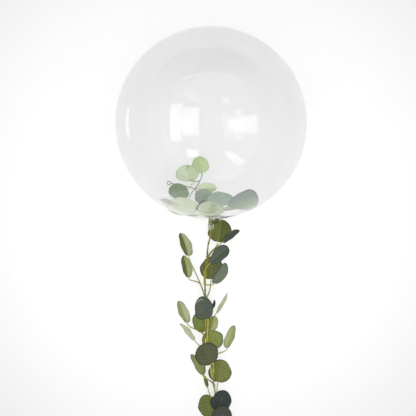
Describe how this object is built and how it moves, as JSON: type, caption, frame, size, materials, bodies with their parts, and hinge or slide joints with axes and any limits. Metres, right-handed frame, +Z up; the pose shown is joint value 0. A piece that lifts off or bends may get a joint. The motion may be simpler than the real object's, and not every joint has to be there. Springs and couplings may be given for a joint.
{
  "type": "clear bubble balloon",
  "caption": "Clear round bubble balloon, tied at the neck, with eucalyptus sealed inside and a leafy eucalyptus garland hanging as its tail.",
  "frame": {"origin": "middle of the small flat spot that the balloon rests on, at floor height", "axes": "+Z up, +Y away from the neck, with the garland running along -Y, +X to the right of someone looking along +Y"},
  "size_m": [0.4944, 1.2812, 0.492],
  "materials": {
    "film": "clear glossy plastic film",
    "tie": "wound green twine",
    "bark": "olive brown bark, satin",
    "twig": "yellow green twig, satin",
    "leaf": "dusty grey green on top, olive below, matte"
  },
  "bodies": {
    "root": {"balloon": "film", "neck_tie": "tie", "main_stem": "bark", "spray_1": "twig", "leaf_01": "leaf", "spray_2": "twig", "leaf_02": "leaf", "leaf_03": "leaf", "spray_3": "twig", "leaf_04": "leaf", "leaf_05": "leaf", "leaf_06": "leaf", "leaf_07": "leaf", "leaf_08": "leaf", "spray_4": "twig", "leaf_09": "leaf", "leaf_10": "leaf", "leaf_11": "leaf", "leaf_12": "leaf", "spray_5": "twig", "leaf_13": "leaf", "leaf_14": "leaf", "leaf_15": "leaf", "leaf_16": "leaf", "leaf_17": "leaf", "spray_6": "twig", "leaf_18": "leaf", "leaf_19": "leaf", "leaf_20": "leaf", "spray_7": "twig", "leaf_21": "leaf", "leaf_22": "leaf", "spray_8": "twig", "leaf_23": "leaf", "leaf_24": "leaf", "leaf_25": "leaf", "spray_9": "twig", "leaf_26": "leaf", "leaf_27": "leaf", "leaf_28": "leaf", "spray_10": "twig", "leaf_29": "leaf", "leaf_30": "leaf", "leaf_31": "leaf", "spray_11": "twig", "leaf_32": "leaf", "leaf_33": "leaf", "leaf_34": "leaf"}
  },
  "joints": []
}
